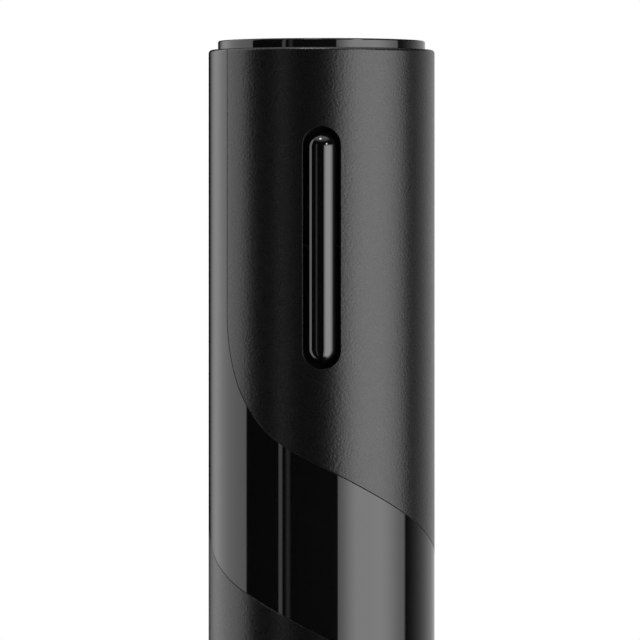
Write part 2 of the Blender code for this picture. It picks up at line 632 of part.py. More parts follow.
board = box("control_board", (-14.0, -12.3, 170.0), (14.0, -10.8, 233.0), "board")
combine(board, [box("c", (-4.0, -11.2, 188.0), (4.0, -8.6, 194.0), own=False),
                box("c", (-12.0, -11.2, 184.0), (-6.6, -7.2, 189.4), own=False),
                box("c", (6.4, -11.2, 204.0), (11.0, -8.2, 214.0), own=False)], "UNION")
prism("charge_board", d_plate(19.0, -5.0), 171.0, 172.2, "board", (0, 4, 171.6))
usb = prism("usb_socket", [(y, z + 174.1) for z, y in stadium(3.2, 8.9, 0.0, 5)], 15.2, 22.6,
            "steel", axis="Y", origin=(0, 19, 174.1))
combine(usb, [prism("c", [(y, z + 174.1) for z, y in stadium(2.5, 8.2, 0.0, 5)], 16.6, 24.0, None,
                    axis="Y", own=False)])
tongue = prism("t", [(-3.3, 173.75), (3.3, 173.75), (3.3, 174.45), (-3.3, 174.45)], 16.0, 22.0,
               None, axis="Y", own=False)
combine(usb, [tongue], "UNION")
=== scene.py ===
import json
import math
import bmesh
import bpy
from mathutils import Matrix, Vector


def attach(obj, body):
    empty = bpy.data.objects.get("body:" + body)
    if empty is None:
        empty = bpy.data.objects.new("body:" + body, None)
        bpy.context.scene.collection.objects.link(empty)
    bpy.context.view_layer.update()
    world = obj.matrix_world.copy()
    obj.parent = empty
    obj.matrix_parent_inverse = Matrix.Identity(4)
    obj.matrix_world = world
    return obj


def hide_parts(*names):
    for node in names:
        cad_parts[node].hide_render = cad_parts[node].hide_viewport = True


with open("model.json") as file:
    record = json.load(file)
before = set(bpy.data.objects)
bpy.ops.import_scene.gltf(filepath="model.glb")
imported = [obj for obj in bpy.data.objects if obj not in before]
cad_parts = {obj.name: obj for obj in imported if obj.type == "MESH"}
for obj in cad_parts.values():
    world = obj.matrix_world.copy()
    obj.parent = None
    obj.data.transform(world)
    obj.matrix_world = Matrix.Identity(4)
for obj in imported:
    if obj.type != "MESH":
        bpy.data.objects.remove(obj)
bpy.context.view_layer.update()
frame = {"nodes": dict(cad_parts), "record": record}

MM = 0.001

# ------------------------------------------------------------------ sizes (mm)
R = 24.0
TOP = 242.0
BASE = 92.0
SKIN_IN = 22.3
BAND_S0, BAND_S1 = -55.2, -23.5
BEND_S, BEND_D = 9.5, 55.85
BEND_RI, BEND_RO = 33.0, 64.7
SLOPE = 0.51
GIRTH = 2 * math.pi * R
SLOT_Z, SLOT_W, SLOT_L = 199.8, 8.0, 51.0
ROCKER_W, ROCKER_L, ROCKER_Y = 6.3, 48.6, -22.3


# ------------------------------------------------------------------ node helpers
class Graph:
    """A material or world node tree with short calls for its nodes."""

    def __init__(self, tree):
        self.t = tree

    def add(self, kind, **settings):
        n = self.t.nodes.new(kind)
        for k, v in settings.items():
            setattr(n, k, v)
        return n

    def put(self, value, socket):
        if isinstance(value, bpy.types.NodeSocket):
            self.t.links.new(value, socket)
        else:
            socket.default_value = value

    def math(self, op, a, b=0.0, c=None, clamp=False):
        n = self.add("ShaderNodeMath", operation=op, use_clamp=clamp)
        self.put(a, n.inputs[0])
        self.put(b, n.inputs[1])
        if c is not None:
            self.put(c, n.inputs[2])
        return n.outputs[0]

    def coords(self):
        return self.add("ShaderNodeTexCoord").outputs["Object"]

    def stretch(self, vector, scale):
        n = self.add("ShaderNodeMapping", vector_type="POINT")
        self.put(vector, n.inputs["Vector"])
        n.inputs["Scale"].default_value = scale
        return n.outputs[0]

    def noise(self, vector, scale, detail=3.0, rough=0.5, distort=0.0):
        n = self.add("ShaderNodeTexNoise")
        self.put(vector, n.inputs["Vector"])
        n.inputs["Scale"].default_value = scale
        n.inputs["Detail"].default_value = detail
        n.inputs["Roughness"].default_value = rough
        n.inputs["Distortion"].default_value = distort
        return n.outputs["Fac"]

    def voronoi(self, vector, scale, feature="F1"):
        n = self.add("ShaderNodeTexVoronoi", feature=feature)
        self.put(vector, n.inputs["Vector"])
        n.inputs["Scale"].default_value = scale
        return n.outputs["Distance"]

    def span(self, value, a, b, lo, hi, smooth=False):
        n = self.add("ShaderNodeMapRange", interpolation_type="SMOOTHSTEP" if smooth else "LINEAR")
        self.put(value, n.inputs["Value"])
        for key, v in (("From Min", a), ("From Max", b), ("To Min", lo), ("To Max", hi)):
            self.put(v, n.inputs[key])
        return n.outputs["Result"]

    def mix(self, fac, a, b):
        n = self.add("ShaderNodeMix", data_type="RGBA")
        self.put(fac, n.inputs[0])
        self.put(a, n.inputs[6])
        self.put(b, n.inputs[7])
        return n.outputs[2]

    def bump(self, height, strength, distance, normal=None):
        n = self.add("ShaderNodeBump")
        n.inputs["Strength"].default_value = strength
        n.inputs["Distance"].default_value = distance
        self.put(height, n.inputs["Height"])
        if normal is not None:
            self.put(normal, n.inputs["Normal"])
        return n.outputs[0]

    def attribute(self, name):
        return self.add("ShaderNodeAttribute", attribute_name=name).outputs["Fac"]


def new_material(name):
    mat = bpy.data.materials.new(name)
    mat.use_nodes = True
    g = Graph(mat.node_tree)
    return mat, g, mat.node_tree.nodes["Principled BSDF"]


def rgb(r, g, b):
    return (r, g, b, 1.0)


def spark_plastic(name, tone=0.0038, grain=0.55, depth=0.00002, rough=0.285):
    """Matte black moulding with a fine spark-eroded texture and rubbed edges."""
    mat, g, p = new_material(name)
    co = g.coords()
    pits = g.voronoi(co, 1.0 / (grain * MM))
    fine = g.noise(co, 1.0 / (grain * 0.55 * MM), 3.0, 0.6)
    patch = g.noise(co, 1.0 / (2.4 * MM), 3.0, 0.6)
    slow = g.noise(co, 90.0, 3.0, 0.55)
    rub = g.attribute("edge")
    height = g.math("ADD", g.math("MULTIPLY", pits, 0.6), fine)
    coarse = g.noise(co, 1.0 / (0.5 * MM), 2.0, 0.5)
    n1 = g.bump(coarse, 1.0, 0.000045)
    g.put(g.bump(height, 0.3, depth, n1), p.inputs["Normal"])
    t = tone
    base = g.mix(slow, rgb(t * 0.86, t * 0.86, t * 0.90), rgb(t * 1.12, t * 1.12, t * 1.18))
    base = g.mix(g.span(fine, 0.60, 0.78, 0.0, 0.3), base, rgb(t * 2.2, t * 2.6, t * 2.7))
    worn = g.math("MULTIPLY", rub, g.span(slow, 0.3, 0.7, 0.25, 0.75))
    base = g.mix(worn, base, rgb(t * 2.0, t * 2.0, t * 2.1))
    g.put(base, p.inputs["Base Color"])
    mixed = g.math("ADD", g.math("MULTIPLY", patch, 0.25), g.math("MULTIPLY", fine, 0.75))
    r = g.span(mixed, 0.3, 0.7, rough - 0.05, rough + 0.06)
    g.put(g.math("SUBTRACT", r, g.math("MULTIPLY", worn, 0.03)), p.inputs["Roughness"])
    p.inputs["Specular IOR Level"].default_value = 0.5
    return mat


def piano_black(name, tone=0.003, rough=0.03, ior=1.52):
    """Polished black plastic: faint moulding waviness, hairlines and dust in the gloss."""
    mat, g, p = new_material(name)
    co = g.coords()
    wave = g.noise(co, 55.0, 2.0, 0.4)
    hair = g.noise(g.stretch(co, (1.0, 1.0, 0.02)), 2600.0, 2.0, 0.5)
    dust = g.noise(co, 3800.0, 1.0, 0.4)
    smear = g.noise(co, 70.0, 4.0, 0.6)
    rub = g.attribute("edge")
    n1 = g.bump(wave, 0.05, 0.00012)
    n2 = g.bump(hair, 0.03, 0.000004, n1)
    g.put(n2, p.inputs["Normal"])
    t = tone
    base = g.mix(smear, rgb(t, t, t * 1.05), rgb(t * 1.3, t * 1.3, t * 1.4))
    base = g.mix(g.span(dust, 0.74, 0.80, 0.0, 0.25), base, rgb(0.05, 0.05, 0.05))
    base = g.mix(g.math("MULTIPLY", rub, 0.5), base, rgb(0.018, 0.018, 0.019))
    g.put(base, p.inputs["Base Color"])
    r = g.span(smear, 0.35, 0.75, rough, rough + 0.03)
    r = g.math("ADD", r, g.span(hair, 0.62, 0.72, 0.0, 0.03))
    g.put(r, p.inputs["Roughness"])
    p.inputs["Specular IOR Level"].default_value = 0.5
    p.inputs["IOR"].default_value = ior
    return mat


def moulded(name, colour, rough=0.42, grain=0.7):
    """Plain moulded plastic: flow marks, slight mottling and a soft tool finish."""
    mat, g, p = new_material(name)
    co = g.coords()
    flow = g.noise(g.stretch(co, (1.0, 1.0, 0.25)), 160.0, 4.0, 0.6, 0.4)
    fine = g.noise(co, 1.0 / (grain * MM), 3.0, 0.6)
    g.put(g.bump(fine, 0.15, 0.00002), p.inputs["Normal"])
    lo = tuple(c * 0.88 for c in colour)
    hi = tuple(min(1.0, c * 1.10) for c in colour)
    g.put(g.mix(flow, rgb(*lo), rgb(*hi)), p.inputs["Base Color"])
    g.put(g.span(flow, 0.3, 0.7, rough - 0.06, rough + 0.08), p.inputs["Roughness"])
    return mat


def turned_metal(name, colour, rough=0.24, scale=5200.0, depth=0.000006, aniso=0.5, tarnish=0.12):
    """Turned or brushed metal: fine rings round the axis, soft tarnish, bright rubbed edges."""
    mat, g, p = new_material(name)
    co = g.coords()
    lines = g.noise(g.stretch(co, (0.05, 0.05, 1.0)), scale, 3.0, 0.65)
    blot = g.noise(co, 210.0, 4.0, 0.6)
    rub = g.attribute("edge")
    g.put(g.bump(lines, 0.35, depth), p.inputs["Normal"])
    lo = tuple(c * (1.0 - tarnish) for c in colour)
    base = g.mix(blot, rgb(*lo), rgb(*colour))
    base = g.mix(g.math("MULTIPLY", rub, 0.5), base, rgb(*[min(1.0, c * 1.2) for c in colour]))
    g.put(base, p.inputs["Base Color"])
    r = g.math("ADD", g.span(lines, 0.3, 0.7, rough - 0.05, rough + 0.08),
               g.span(blot, 0.4, 0.8, 0.0, 0.06))
    g.put(r, p.inputs["Roughness"])
    p.inputs["Metallic"].default_value = 1.0
    p.inputs["Anisotropic"].default_value = aniso
    return mat


def cast_metal(name, colour, rough=0.5, grain=0.5, metal=1.0):
    """Sintered, cast or plated metal with grain and speckle."""
    mat, g, p = new_material(name)
    co = g.coords()
    grit = g.noise(co, 1.0 / (grain * MM), 4.0, 0.65)
    cells = g.voronoi(co, 0.7 / (grain * MM))
    g.put(g.bump(g.math("ADD", grit, cells), 0.4, 0.00003), p.inputs["Normal"])
    base = g.mix(g.span(grit, 0.3, 0.7, 0.0, 1.0), rgb(*[c * 0.75 for c in colour]), rgb(*colour))
    g.put(base, p.inputs["Base Color"])
    g.put(g.span(grit, 0.3, 0.7, rough - 0.1, rough + 0.1), p.inputs["Roughness"])
    p.inputs["Metallic"].default_value = metal
    return mat


def coated_steel(name):
    """Low-friction black coating on drawn wire: smooth, slightly orange-peeled, with fine light flecks."""
    mat, g, p = new_material(name)
    co = g.coords()
    peel = g.noise(co, 1.0 / (1.6 * MM), 2.0, 0.5)
    fine = g.noise(co, 1.0 / (0.35 * MM), 2.0, 0.5)
    g.put(g.bump(peel, 0.12, 0.00003, g.bump(fine, 0.06, 0.00001)), p.inputs["Normal"])
    base = g.mix(peel, rgb(0.022, 0.022, 0.024), rgb(0.040, 0.040, 0.042))
    base = g.mix(g.span(fine, 0.68, 0.80, 0.0, 0.35), base, rgb(0.14, 0.14, 0.145))
    g.put(base, p.inputs["Base Color"])
    g.put(g.span(peel, 0.3, 0.7, 0.17, 0.27), p.inputs["Roughness"])
    p.inputs["Metallic"].default_value = 0.55
    return mat


def smoked_clear(name):
    """Polished smoked plastic: tinted, with faint scuffs and flow lines."""
    mat, g, p = new_material(name)
    co = g.coords()
    scuff = g.noise(g.stretch(co, (1.0, 1.0, 0.15)), 900.0, 4.0, 0.7)
    wave = g.noise(co, 60.0, 2.0, 0.4)
    g.put(g.bump(wave, 0.08, 0.0001), p.inputs["Normal"])
    g.put(g.mix(wave, rgb(0.44, 0.44, 0.455), rgb(0.52, 0.52, 0.535)), p.inputs["Base Color"])
    g.put(g.span(scuff, 0.55, 0.8, 0.02, 0.12), p.inputs["Roughness"])
    p.inputs["Transmission Weight"].default_value = 1.0
    p.inputs["IOR"].default_value = 1.49
    p.inputs["Specular IOR Level"].default_value = 0.22
    return mat


def wrapped_cell(name):
    mat, g, p = new_material(name)
    co = g.coords()
    z = g.add("ShaderNodeSeparateXYZ")
    g.put(co, z.inputs[0])
    wrinkle = g.noise(g.stretch(co, (1.0, 1.0, 0.3)), 700.0, 3.0, 0.6)
    metal_end = g.math("GREATER_THAN", z.outputs[2], 230.6 * MM)
    g.put(g.bump(wrinkle, 0.3, 0.00003), p.inputs["Normal"])
    film = g.mix(wrinkle, rgb(0.035, 0.17, 0.40), rgb(0.06, 0.26, 0.56))
    g.put(g.mix(metal_end, film, rgb(0.62, 0.61, 0.58)), p.inputs["Base Color"])
    g.put(metal_end, p.inputs["Metallic"])
    g.put(g.span(wrinkle, 0.3, 0.7, 0.24, 0.40), p.inputs["Roughness"])
    return mat


def circuit_board(name):
    """Lacquered board: woven glass under green resist, copper tracks showing as ridges."""
    mat, g, p = new_material(name)
    co = g.coords()
    brick = g.add("ShaderNodeTexBrick")
    g.put(g.stretch(co, (1.0, 0.0, 1.0)), brick.inputs["Vector"])
    brick.inputs["Scale"].default_value = 260.0
    brick.inputs["Mortar Size"].default_value = 0.06
    weave = g.noise(co, 2400.0, 2.0, 0.5)
    tracks = brick.outputs["Fac"]
    base = g.mix(tracks, rgb(0.012, 0.13, 0.05), rgb(0.03, 0.24, 0.10))
    base = g.mix(g.span(weave, 0.6, 0.75, 0.0, 0.4), base, rgb(0.05, 0.30, 0.14))
    g.put(base, p.inputs["Base Color"])
    g.put(g.bump(g.math("ADD", tracks, weave), 0.4, 0.00003), p.inputs["Normal"])
    g.put(g.span(weave, 0.3, 0.7, 0.22, 0.42), p.inputs["Roughness"])
    return mat


def wound_copper(name):
    mat, g, p = new_material(name)
    co = g.coords()
    wave = g.add("ShaderNodeTexWave", wave_type="BANDS", bands_direction="Z")
    g.put(co, wave.inputs["Vector"])
    wave.inputs["Scale"].default_value = 900.0
    wave.inputs["Distortion"].default_value = 2.0
    blot = g.noise(co, 300.0, 3.0, 0.6)
    g.put(g.bump(wave.outputs["Fac"], 0.6, 0.00008), p.inputs["Normal"])
    g.put(g.mix(blot, rgb(0.50, 0.20, 0.09), rgb(0.72, 0.34, 0.18)), p.inputs["Base Color"])
    g.put(g.span(blot, 0.3, 0.7, 0.25, 0.45), p.inputs["Roughness"])
    p.inputs["Metallic"].default_value = 1.0
    return mat


MATS = {
    "matte_black": spark_plastic("matte_black"),
    "gloss_black": piano_black("gloss_black"),
    "lacquer_black": piano_black("lacquer_black", 0.0025, 0.03, 1.6),
    "smoke": smoked_clear("smoke"),
    "satin_metal": turned_metal("satin_metal", (0.17, 0.17, 0.175), 0.29, 9000.0, 0.000004, 0.4, 0.05),
    "steel": turned_metal("steel", (0.55, 0.55, 0.56), 0.28, 3000.0),
    "dark_plastic": moulded("dark_plastic", (0.028, 0.028, 0.030)),
    "nylon": moulded("nylon", (0.74, 0.72, 0.66), 0.4),
    "sinter": cast_metal("sinter", (0.36, 0.34, 0.32), 0.48),
    "brass": turned_metal("brass", (0.72, 0.55, 0.26), 0.26, 3000.0),
    "magnet": cast_metal("magnet", (0.10, 0.10, 0.11), 0.55, 0.4, 0.3),
    "copper": wound_copper("copper"),
    "coated": coated_steel("coated"),
    "cell_wrap": wrapped_cell("cell_wrap"),
    "nickel": turned_metal("nickel", (0.60, 0.58, 0.53), 0.22, 2400.0),
    "board": circuit_board("board"),
    "zinc": cast_metal("zinc", (0.52, 0.52, 0.53), 0.34, 0.8),
}
BLACKENED = cast_metal("blackened_steel", (0.045, 0.045, 0.048), 0.42, 0.5)


# ------------------------------------------------------------------ mesh helpers
def finish_mesh(name, verts, faces, look, body, nodes, normals=None, edge=None, smooth=True,
                sharp=None):
    """A piece from millimetre vertices; `edge` marks rubbed edges for its material."""
    mesh = bpy.data.meshes.new(name)
    mesh.from_pydata([Vector(v) * MM for v in verts], [], faces)
    if normals is None:
        bm = bmesh.new()
        bm.from_mesh(mesh)
        bmesh.ops.recalc_face_normals(bm, faces=bm.faces)
        bm.to_mesh(mesh)
        bm.free()
    for p in mesh.polygons:
        p.use_smooth = smooth
    if sharp is not None and normals is None:
        mesh.set_sharp_from_angle(angle=math.radians(sharp))
    if edge is not None:
        a = mesh.attributes.new("edge", "FLOAT", "POINT")
        a.data.foreach_set("value", edge)
    if normals is not None:
        mesh.normals_split_custom_set([tuple(n) for n in normals])
    ob = bpy.data.objects.new(name, mesh)
    bpy.context.scene.collection.objects.link(ob)
    mesh.materials.append(MATS[look])
    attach(ob, body)
    if nodes:
        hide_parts(*nodes)
    return ob


def arc(r0, z0, radius, a0, a1, n):
    """Points of a profile fillet centred on (r0, z0), angles in degrees."""
    return [(r0 + radius * math.cos(math.radians(a0 + (a1 - a0) * k / n)),
             z0 + radius * math.sin(math.radians(a0 + (a1 - a0) * k / n))) for k in range(n + 1)]


def lathe(name, profile, look, body, nodes, segs=160, at=(0, 0), sharp=35.0, ridge=None):
    """Revolve a closed (r, z) outline; `ridge(r, z, a)` may change the radius by angle."""
    verts, rings, edge = [], [], []
    n = len(profile)
    for i, (r, z) in enumerate(profile):
        a, b = profile[i - 1], profile[(i + 1) % n]
        u = Vector((r - a[0], z - a[1]))
        v = Vector((b[0] - r, b[1] - z))
        turn = u.angle(v) if u.length > 1e-9 and v.length > 1e-9 else 0.0
        worn = min(1.0, turn / 0.5) if r > 0 and (u.length < 1.0 or v.length < 1.0) else 0.0
        if r <= 0:
            rings.append([len(verts)])
            verts.append((at[0], at[1], z))
            edge.append(0.0)
        else:
            rings.append(list(range(len(verts), len(verts) + segs)))
            for k in range(segs):
                t = 2 * math.pi * k / segs
                rr = ridge(r, z, t) if ridge else r
                verts.append((at[0] + rr * math.cos(t), at[1] + rr * math.sin(t), z))
                edge.append(worn)
    faces = []
    for i in range(n):
        a, b = rings[i], rings[(i + 1) % n]
        if len(a) == 1 and len(b) == 1:
            continue
        for k in range(segs):
            m = (k + 1) % segs
            if len(a) == 1:
                faces.append((a[0], b[k], b[m]))
            elif len(b) == 1:
                faces.append((a[k], b[0], a[m]))
            else:
                faces.append((a[k], b[k], b[m], a[m]))
    return finish_mesh(name, verts, faces, look, body, nodes, edge=edge, sharp=sharp)


# ------------------------------------------------------------------ the band's edges
def edge_curve(s, radius):
    """Distance below the top of a band edge that bends at this radius."""
    nx, ny = -SLOPE / math.hypot(1, SLOPE), 1 / math.hypot(1, SLOPE)
    s_tan = BEND_S + radius * nx
    if s <= BEND_S - radius:
        return BEND_D
    if s < s_tan:
        return BEND_D + math.sqrt(max(0.0, radius * radius - (s - BEND_S) ** 2))
    return BEND_D + radius * ny + SLOPE * (s - s_tan)


def bend_columns(radius, shift=0.0):
    """Arc lengths that sample the bend evenly along its own length."""
    last = math.acos(SLOPE / math.hypot(1, SLOPE))
    n = max(12, int(radius * last / 0.8))
    return [shift + BEND_S - radius * math.cos(last * k / n) for k in range(n + 1)]


def hole_columns(centre, w, n=14):
    """Arc lengths that sample the round ends of a slot seen from the front or back."""
    return [centre + R * math.asin(w / 2 / R * math.sin(math.pi * (k / n - 0.5))) for k in range(n + 1)]


def hole_span(s, centre, w, length, mid_d):
    """The slot's (upper, lower) distance below the top at this arc length, or None."""
    x = R * math.sin((s - centre) / R)
    if abs(s - centre) > R or abs(x) >= w / 2:
        return None
    h = (length - w) / 2 + math.sqrt(max(0.0, (w / 2) ** 2 - x * x))
    return (mid_d - h, mid_d + h)


class Skin:
    """A curved solid cut from the body's wall. Cells lie between neighbouring columns, so each
    is flat; the rims are rounded over and carried inwards, and the back repeats the front."""

    def __init__(self, columns, intervals, r_out, r_in, lip, top_d=None, top_lip=0.0, hole_lip=None):
        self.r_out, self.r_in, self.lip = r_out, r_in, lip
        self.top_d, self.top_lip, self.hole_lip = top_d, top_lip, hole_lip
        cols = []
        for c in sorted(columns):
            if not cols or c - cols[-1] > 1e-4:
                cols.append(c)
        eps = 1e-6
        right = [intervals(c + eps) for c in cols]
        left = [intervals(c - eps) for c in cols]
        marks = []
        for i in range(len(cols)):
            ds = set()
            if i > 0:
                ds |= {round(d, 5) for iv in left[i] for d in iv}
            if i < len(cols) - 1:
                ds |= {round(d, 5) for iv in right[i] for d in iv}
            kept = []
            for d in sorted(ds):
                if not kept or d - kept[-1] > 0.01:
                    kept.append(d)
            marks.append(kept)
        self.points, index, self.cells = [], {}, []

        def point(i, d):
            key = (i, d)
            if key not in index:
                index[key] = len(self.points)
                self.points.append((cols[i], d))
            return index[key]

        for i in range(len(cols) - 1):
            a_iv, b_iv = right[i], left[i + 1]
            if len(a_iv) != len(b_iv):
                raise ValueError("the columns miss a change at %.4f %s %s" % (cols[i], a_iv, b_iv))
            for (a0, a1), (b0, b1) in zip(a_iv, b_iv):
                ls = [point(i, d) for d in marks[i] if a0 - 0.012 <= d <= a1 + 0.012]
                rs = [point(i + 1, d) for d in marks[i + 1] if b0 - 0.012 <= d <= b1 + 0.012]
                cell = ls + rs[::-1]
                if len(cell) > 2:
                    self.cells.append(cell)
        used = {}
        for cell in self.cells:
            for a, b in zip(cell, cell[1:] + cell[:1]):
                if (b, a) in used:
                    del used[(b, a)]
                else:
                    used[(a, b)] = True
        self.rim = {}
        for a, b in used:
            self.rim.setdefault(a, []).append(b)
        self.loops = []
        left_over = {a: list(b) for a, b in self.rim.items()}
        while left_over:
            start = next(iter(left_over))
            loop = [start]
            while True:
                nxt = left_over[loop[-1]].pop()
                if not left_over[loop[-1]]:
                    del left_over[loop[-1]]
                if nxt == start:
                    break
                loop.append(nxt)
            self.loops.append(loop)

    def place(self, s, d, r):
        a = s / R - math.pi / 2
        return (r * math.cos(a), r * math.sin(a), TOP - d)

    def build(self, name, look, body, nodes, steps=4):
        verts, edge, faces, corners = [], [], [], []

        def radial(s):
            a = s / R - math.pi / 2
            return Vector((math.cos(a), math.sin(a), 0))

        def along(s, m):
            a = s / R - math.pi / 2
            return Vector((-math.sin(a), math.cos(a), 0)) * m.x + Vector((0, 0, -1)) * m.y

        def face(ids, normals):
            faces.append(tuple(ids))
            corners.extend(normals)

        for s, d in self.points:
            verts.append(self.place(s, d, self.r_out))
            edge.append(0.0)
        for c in self.cells:
            face(c, [radial(self.points[i][0]) for i in c])
        back = {}
        for loop in self.loops:
            n = len(loop)
            pts = [self.points[i] for i in loop]
            wide = max(p[0] for p in pts) - min(p[0] for p in pts)
            is_hole = self.hole_lip is not None and wide < 20
            offs, outs = [], []

            def side(a, b):
                v = Vector((b[0] - a[0], b[1] - a[1]))
                v.normalize()
                e = self.lip
                if is_hole:
                    e = self.hole_lip
                elif self.top_d is not None and abs(a[1] - self.top_d) < 1e-4 \
                        and abs(b[1] - self.top_d) < 1e-4:
                    e = self.top_lip
                return Vector((-v.y, v.x)), e

            for k in range(n):
                n1, e1 = side(pts[k - 1], pts[k])
                n2, e2 = side(pts[k], pts[(k + 1) % n])
                det = n1.x * n2.y - n1.y * n2.x
                both = n1 + n2
                mid = both.normalized() if both.length > 0.1 else n1
                if abs(det) < 0.15:
                    o = mid * ((e1 + e2) / 2)
                else:
                    o = Vector(((e1 * n2.y - e2 * n1.y) / det, (n1.x * e2 - n2.x * e1) / det))
                    if o.length > 3 * max(e1, e2):
                        o = o.normalized() * 3 * max(e1, e2)
                offs.append((o, max(e1, e2)))
                outs.append(mid)
            prev = list(loop)
            prev_n = [radial(p[0]) for p in pts]
            for step in range(1, steps + 1):
                f = math.pi / 2 * step / steps
                ring, ring_n = [], []
                for k in range(n):
                    o, e = offs[k]
                    s, d = pts[k][0] + o.x * math.sin(f), pts[k][1] + o.y * math.sin(f)
                    verts.append(self.place(s, d, self.r_out - e * (1 - math.cos(f))))
                    edge.append(1.0 if step < steps else 0.5)
                    ring.append(len(verts) - 1)
                    ring_n.append((radial(s) * math.cos(f) + along(s, outs[k]) * math.sin(f)).normalized())
                for k in range(n):
                    q = (k + 1) % n
                    face((prev[q], prev[k], ring[k], ring[q]),
                         (prev_n[q], prev_n[k], ring_n[k], ring_n[q]))
                prev, prev_n = ring, ring_n
            inner = []
            for k in range(n):
                o, e = offs[k]
                verts.append(self.place(pts[k][0] + o.x, pts[k][1] + o.y, self.r_in))
                edge.append(0.0)
                inner.append(len(verts) - 1)
            for k in range(n):
                q = (k + 1) % n
                face((prev[q], prev[k], inner[k], inner[q]),
                     (prev_n[q], prev_n[k], prev_n[k], prev_n[q]))
                back[loop[k]] = inner[k]
        for i, (s, d) in enumerate(self.points):
            if i not in back:
                back[i] = len(verts)
                verts.append(self.place(s, d, self.r_in))
                edge.append(0.0)
        for c in self.cells:
            face([back[i] for i in reversed(c)], [-radial(self.points[i][0]) for i in reversed(c)])
        return finish_mesh(name, verts, faces, look, body, nodes, normals=corners, edge=edge)


def grid_columns(a, b, step=1.0):
    n = max(1, int(math.ceil((b - a) / step)))
    return [a + (b - a) * k / n for k in range(n + 1)]


def where(f, a, b):
    """The arc length between a and b where f changes sign."""
    fa = f(a)
    for _ in range(60):
        m = (a + b) / 2
        if (f(m) > 0) == (fa > 0):
            a = m
        else:
            b = m
    return (a + b) / 2


# ------------------------------------------------------------------ shell, band and liner
GAP, LIP, RIM = 0.05, 0.08, 0.7
LOW_D = 149.75
PORT_D, PORT_W, PORT_H = TOP - 174.1, 10.2, 4.4
SLOT_D = TOP - SLOT_Z
HOLE_LIP = 0.09
k0 = GAP + LIP


def port_span(s):
    x = abs(R * math.sin((s - GIRTH / 2) / R))
    w, h = PORT_W / 2 + HOLE_LIP, PORT_H / 2 + HOLE_LIP
    if abs(s - GIRTH / 2) > 12 or x >= w:
        return None
    y = h if x < w - h else math.sqrt(max(0.0, h * h - (x - (w - h)) ** 2))
    return (PORT_D - y, PORT_D + y)


def matte_intervals(s):
    low = min(edge_curve(s, BEND_RI - k0), LOW_D)
    high = RIM if s < GIRTH + BAND_S0 - k0 else edge_curve(s - GIRTH, BEND_RO + k0)
    spans = [(high, low)]
    hole = hole_span(s, 0.0, SLOT_W + 2 * HOLE_LIP, SLOT_L + 2 * HOLE_LIP, SLOT_D) or port_span(s)
    if hole:
        spans = [(high, hole[0]), (hole[1], low)]
    return spans


m0 = BEND_S - (BEND_RI - k0)
m1 = where(lambda s: edge_curve(s - GIRTH, BEND_RO + k0) - (LOW_D - 0.4), 190.0, 210.0)
cols = grid_columns(m0, m1) + bend_columns(BEND_RI - k0) + bend_columns(BEND_RO + k0, GIRTH)
cols += [where(lambda s: edge_curve(s, BEND_RI - k0) - LOW_D, 110.0, 130.0), GIRTH + BAND_S0 - k0]
cols += hole_columns(0.0, SLOT_W + 2 * HOLE_LIP)
pw, ph = PORT_W / 2 + HOLE_LIP, PORT_H / 2 + HOLE_LIP
for k in range(9):
    x = (pw - ph) + ph * math.sin(math.pi / 2 * k / 8)
    for sgn in (-1, 1):
        cols.append(GIRTH / 2 + sgn * R * math.asin(x / R))
cols = [c for c in cols if m0 - 1e-6 <= c <= m1 + 1e-6]
Skin(cols, matte_intervals, R, SKIN_IN, LIP, RIM, RIM, HOLE_LIP).build(
    "shell_skin", "matte_black", "opener_body", ["matte_shell"], steps=5)


def band_intervals(s):
    low = min(edge_curve(s, BEND_RO - k0), LOW_D)
    high = RIM if s < BAND_S1 - k0 else edge_curve(s, BEND_RI + k0)
    return [(high, low)]


b0 = BAND_S0 + k0
b1 = where(lambda s: edge_curve(s, BEND_RI + k0) - (LOW_D - 0.4), 110.0, 130.0)
cols = grid_columns(b0, b1) + bend_columns(BEND_RI + k0) + bend_columns(BEND_RO - k0)
cols += [where(lambda s: edge_curve(s, BEND_RO - k0) - LOW_D, 40.0, 60.0), BAND_S1 - k0]
cols = [c for c in cols if b0 - 1e-6 <= c <= b1 + 1e-6]
Skin(cols, band_intervals, R, SKIN_IN, LIP, RIM, RIM).build(
    "band_skin", "gloss_black", "opener_body", ["gloss_band"], steps=5)


def cut_away(ob, cutters):
    """Cut closed shapes out of a piece for good."""
    for c in cutters:
        mod = ob.modifiers.new("cut", "BOOLEAN")
        mod.operation, mod.solver, mod.object = "DIFFERENCE", "EXACT", c
        graph = bpy.context.evaluated_depsgraph_get()
        graph.update()
        mesh = bpy.data.meshes.new_from_object(ob.evaluated_get(graph))
        ob.modifiers.clear()
        ob.data = mesh
        bpy.data.objects.remove(c, do_unlink=True)
    bm = bmesh.new()
    bm.from_mesh(ob.data)
    for _ in range(2):
        bmesh.ops.triangulate(bm, faces=bm.faces[:])
        bmesh.ops.remove_doubles(bm, verts=bm.verts[:], dist=1e-7)
        bmesh.ops.dissolve_degenerate(bm, edges=bm.edges[:], dist=1e-7)
    bmesh.ops.triangulate(bm, faces=bm.faces[:])
    bm.to_mesh(ob.data)
    bm.free()
    for p in ob.data.polygons:
        p.use_smooth = True
    ob.data.set_sharp_from_angle(angle=math.radians(30))
    return ob


